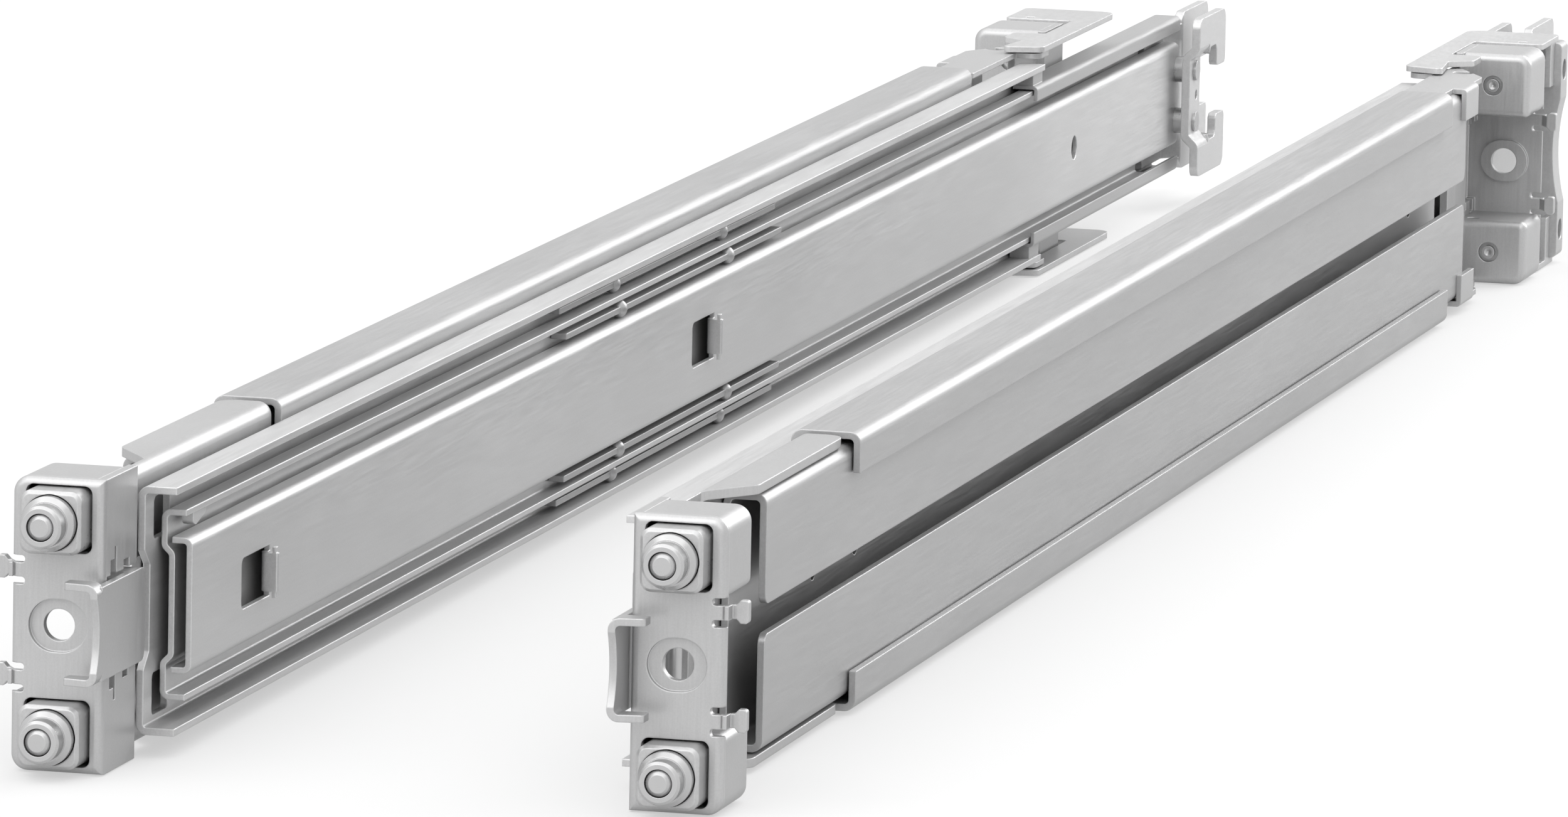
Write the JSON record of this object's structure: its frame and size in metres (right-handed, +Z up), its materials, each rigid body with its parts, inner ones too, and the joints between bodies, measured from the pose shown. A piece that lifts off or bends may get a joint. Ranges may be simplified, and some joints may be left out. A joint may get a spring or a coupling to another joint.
{
  "type": "pair of rack mounting rails",
  "caption": "Pair of telescoping ball-bearing slide rails with spring-stud end brackets and release levers, for mounting a chassis in a four-post rack.",
  "frame": {"origin": "bottom centre of the pair's box, midway between the two rails and midway along them, on the surface that they stand on", "axes": "+Y along the rails from front to rear, +Z up, +X from the left rail to the right rail"},
  "size_m": [0.114, 0.7204, 0.0438],
  "materials": {
    "zinc_plate": "satin zinc plate on bent sheet",
    "channel_steel": "satin zinc plate on rolled sheet",
    "slide_steel": "fine matte zinc plate on rolled slides",
    "hook_plate": "satin zinc plate on stamped sheet",
    "cast_zinc": "tumbled zinc alloy",
    "turned_steel": "bright turned steel",
    "ball_cage_steel": "bright strip and polished balls"
  },
  "bodies": {
    "root": {"front_bracket_left": "zinc_plate", "front_housings_left": "zinc_plate", "front_pins_left": "turned_steel", "front_latch_pin_left": "turned_steel", "sleeve_channel_left": "channel_steel", "outer_member_left": "slide_steel", "guide_channel_left": "channel_steel", "guide_hook_left": "hook_plate", "front_bracket_right": "zinc_plate", "front_housings_right": "zinc_plate", "front_pins_right": "turned_steel", "front_latch_pin_right": "turned_steel", "sleeve_channel_right": "channel_steel", "outer_member_right": "slide_steel", "guide_channel_right": "channel_steel", "guide_hook_right": "hook_plate"},
    "rear_frame_left": {"support_channel_left": "channel_steel", "rear_bracket_left": "zinc_plate", "rear_housings_left": "zinc_plate", "rear_pins_left": "turned_steel"},
    "rear_lever_left": {"rear_lever_wings_left": "hook_plate", "rear_lever_bar_left": "cast_zinc"},
    "latch_left": {"front_latch_left": "zinc_plate"},
    "middle_slide_left": {"middle_member_left": "slide_steel"},
    "inner_slide_left": {"inner_member_left": "slide_steel", "inner_hook_left": "hook_plate", "hook_standoffs_left": "turned_steel"},
    "outer_balls_left": {"outer_cage_left": "ball_cage_steel"},
    "inner_balls_left": {"inner_cage_left": "ball_cage_steel"},
    "front_block_upper_left": {"front_block_upper_left": "cast_zinc"},
    "front_sleeve_upper_left": {"front_sleeve_upper_left": "turned_steel"},
    "front_block_lower_left": {"front_block_lower_left": "cast_zinc"},
    "front_sleeve_lower_left": {"front_sleeve_lower_left": "turned_steel"},
    "rear_block_upper_left": {"rear_block_upper_left": "cast_zinc"},
    "rear_sleeve_upper_left": {"rear_sleeve_upper_left": "turned_steel"},
    "rear_block_lower_left": {"rear_block_lower_left": "cast_zinc"},
    "rear_sleeve_lower_left": {"rear_sleeve_lower_left": "turned_steel"},
    "rear_frame_right": {"support_channel_right": "channel_steel", "rear_bracket_right": "zinc_plate", "rear_housings_right": "zinc_plate", "rear_pins_right": "turned_steel"},
    "rear_lever_right": {"rear_lever_wings_right": "hook_plate", "rear_lever_bar_right": "cast_zinc"},
    "latch_right": {"front_latch_right": "zinc_plate"},
    "middle_slide_right": {"middle_member_right": "slide_steel"},
    "inner_slide_right": {"inner_member_right": "slide_steel", "inner_hook_right": "hook_plate", "hook_standoffs_right": "turned_steel"},
    "outer_balls_right": {"outer_cage_right": "ball_cage_steel"},
    "inner_balls_right": {"inner_cage_right": "ball_cage_steel"},
    "front_block_upper_right": {"front_block_upper_right": "cast_zinc"},
    "front_sleeve_upper_right": {"front_sleeve_upper_right": "turned_steel"},
    "front_block_lower_right": {"front_block_lower_right": "cast_zinc"},
    "front_sleeve_lower_right": {"front_sleeve_lower_right": "turned_steel"},
    "rear_block_upper_right": {"rear_block_upper_right": "cast_zinc"},
    "rear_sleeve_upper_right": {"rear_sleeve_upper_right": "turned_steel"},
    "rear_block_lower_right": {"rear_block_lower_right": "cast_zinc"},
    "rear_sleeve_lower_right": {"rear_sleeve_lower_right": "turned_steel"}
  },
  "joints": [
    {"name": "rack_depth_left", "type": "slide", "parent": "root", "child": "rear_frame_left", "axis": [0, 1, 0], "range_m": [0, 0.3048]},
    {"name": "rear_release_left", "type": "hinge", "parent": "rear_frame_left", "child": "rear_lever_left", "pos_m": [-0.03842, 0.22475, 0.0219], "axis": [0, 0, -1], "range_deg": [0, 8], "stiffness_Nm_per_rad": 0.5},
    {"name": "front_release_left", "type": "hinge", "parent": "root", "child": "latch_left", "pos_m": [-0.04332, -0.33875, 0.0219], "axis": [0, 0, -1], "range_deg": [-20, 0], "stiffness_Nm_per_rad": 0.1},
    {"name": "middle_travel_left", "type": "slide", "parent": "root", "child": "middle_slide_left", "axis": [0, -1, 0], "range_m": [0, 0.42]},
    {"name": "outer_ball_travel_left", "type": "slide", "parent": "root", "child": "outer_balls_left", "axis": [0, -1, 0], "range_m": [0, 0.21]},
    {"name": "inner_travel_left", "type": "slide", "parent": "middle_slide_left", "child": "inner_slide_left", "axis": [0, -1, 0], "range_m": [0, 0.4]},
    {"name": "inner_ball_travel_left", "type": "slide", "parent": "middle_slide_left", "child": "inner_balls_left", "axis": [0, -1, 0], "range_m": [0, 0.2]},
    {"name": "front_upper_block_push_left", "type": "slide", "parent": "root", "child": "front_block_upper_left", "axis": [0, 1, 0], "range_m": [0, 0.0042], "stiffness_N_per_m": 400},
    {"name": "front_upper_sleeve_push_left", "type": "slide", "parent": "front_block_upper_left", "child": "front_sleeve_upper_left", "axis": [0, 1, 0], "range_m": [0, 0.0046], "stiffness_N_per_m": 300},
    {"name": "front_lower_block_push_left", "type": "slide", "parent": "root", "child": "front_block_lower_left", "axis": [0, 1, 0], "range_m": [0, 0.0042], "stiffness_N_per_m": 400},
    {"name": "front_lower_sleeve_push_left", "type": "slide", "parent": "front_block_lower_left", "child": "front_sleeve_lower_left", "axis": [0, 1, 0], "range_m": [0, 0.0046], "stiffness_N_per_m": 300},
    {"name": "rear_upper_block_push_left", "type": "slide", "parent": "rear_frame_left", "child": "rear_block_upper_left", "axis": [0, -1, 0], "range_m": [0, 0.0042], "stiffness_N_per_m": 400},
    {"name": "rear_upper_sleeve_push_left", "type": "slide", "parent": "rear_block_upper_left", "child": "rear_sleeve_upper_left", "axis": [0, -1, 0], "range_m": [0, 0.0046], "stiffness_N_per_m": 300},
    {"name": "rear_lower_block_push_left", "type": "slide", "parent": "rear_frame_left", "child": "rear_block_lower_left", "axis": [0, -1, 0], "range_m": [0, 0.0042], "stiffness_N_per_m": 400},
    {"name": "rear_lower_sleeve_push_left", "type": "slide", "parent": "rear_block_lower_left", "child": "rear_sleeve_lower_left", "axis": [0, -1, 0], "range_m": [0, 0.0046], "stiffness_N_per_m": 300},
    {"name": "rack_depth_right", "type": "slide", "parent": "root", "child": "rear_frame_right", "axis": [0, 1, 0], "range_m": [0, 0.3048]},
    {"name": "rear_release_right", "type": "hinge", "parent": "rear_frame_right", "child": "rear_lever_right", "pos_m": [0.03842, 0.22475, 0.0219], "axis": [0, 0, 1], "range_deg": [0, 8], "stiffness_Nm_per_rad": 0.5},
    {"name": "front_release_right", "type": "hinge", "parent": "root", "child": "latch_right", "pos_m": [0.04332, -0.33875, 0.0219], "axis": [0, 0, 1], "range_deg": [-20, 0], "stiffness_Nm_per_rad": 0.1},
    {"name": "middle_travel_right", "type": "slide", "parent": "root", "child": "middle_slide_right", "axis": [0, -1, 0], "range_m": [0, 0.42]},
    {"name": "outer_ball_travel_right", "type": "slide", "parent": "root", "child": "outer_balls_right", "axis": [0, -1, 0], "range_m": [0, 0.21]},
    {"name": "inner_travel_right", "type": "slide", "parent": "middle_slide_right", "child": "inner_slide_right", "axis": [0, -1, 0], "range_m": [0, 0.4]},
    {"name": "inner_ball_travel_right", "type": "slide", "parent": "middle_slide_right", "child": "inner_balls_right", "axis": [0, -1, 0], "range_m": [0, 0.2]},
    {"name": "front_upper_block_push_right", "type": "slide", "parent": "root", "child": "front_block_upper_right", "axis": [0, 1, 0], "range_m": [0, 0.0042], "stiffness_N_per_m": 400},
    {"name": "front_upper_sleeve_push_right", "type": "slide", "parent": "front_block_upper_right", "child": "front_sleeve_upper_right", "axis": [0, 1, 0], "range_m": [0, 0.0046], "stiffness_N_per_m": 300},
    {"name": "front_lower_block_push_right", "type": "slide", "parent": "root", "child": "front_block_lower_right", "axis": [0, 1, 0], "range_m": [0, 0.0042], "stiffness_N_per_m": 400},
    {"name": "front_lower_sleeve_push_right", "type": "slide", "parent": "front_block_lower_right", "child": "front_sleeve_lower_right", "axis": [0, 1, 0], "range_m": [0, 0.0046], "stiffness_N_per_m": 300},
    {"name": "rear_upper_block_push_right", "type": "slide", "parent": "rear_frame_right", "child": "rear_block_upper_right", "axis": [0, -1, 0], "range_m": [0, 0.0042], "stiffness_N_per_m": 400},
    {"name": "rear_upper_sleeve_push_right", "type": "slide", "parent": "rear_block_upper_right", "child": "rear_sleeve_upper_right", "axis": [0, -1, 0], "range_m": [0, 0.0046], "stiffness_N_per_m": 300},
    {"name": "rear_lower_block_push_right", "type": "slide", "parent": "rear_frame_right", "child": "rear_block_lower_right", "axis": [0, -1, 0], "range_m": [0, 0.0042], "stiffness_N_per_m": 400},
    {"name": "rear_lower_sleeve_push_right", "type": "slide", "parent": "rear_block_lower_right", "child": "rear_sleeve_lower_right", "axis": [0, -1, 0], "range_m": [0, 0.0046], "stiffness_N_per_m": 300}
  ],
  "couplings": [
    {"joint": "outer_ball_travel_left", "follows": "middle_travel_left", "ratio": 0.5},
    {"joint": "inner_ball_travel_left", "follows": "inner_travel_left", "ratio": 0.5},
    {"joint": "outer_ball_travel_right", "follows": "middle_travel_right", "ratio": 0.5},
    {"joint": "inner_ball_travel_right", "follows": "inner_travel_right", "ratio": 0.5}
  ]
}
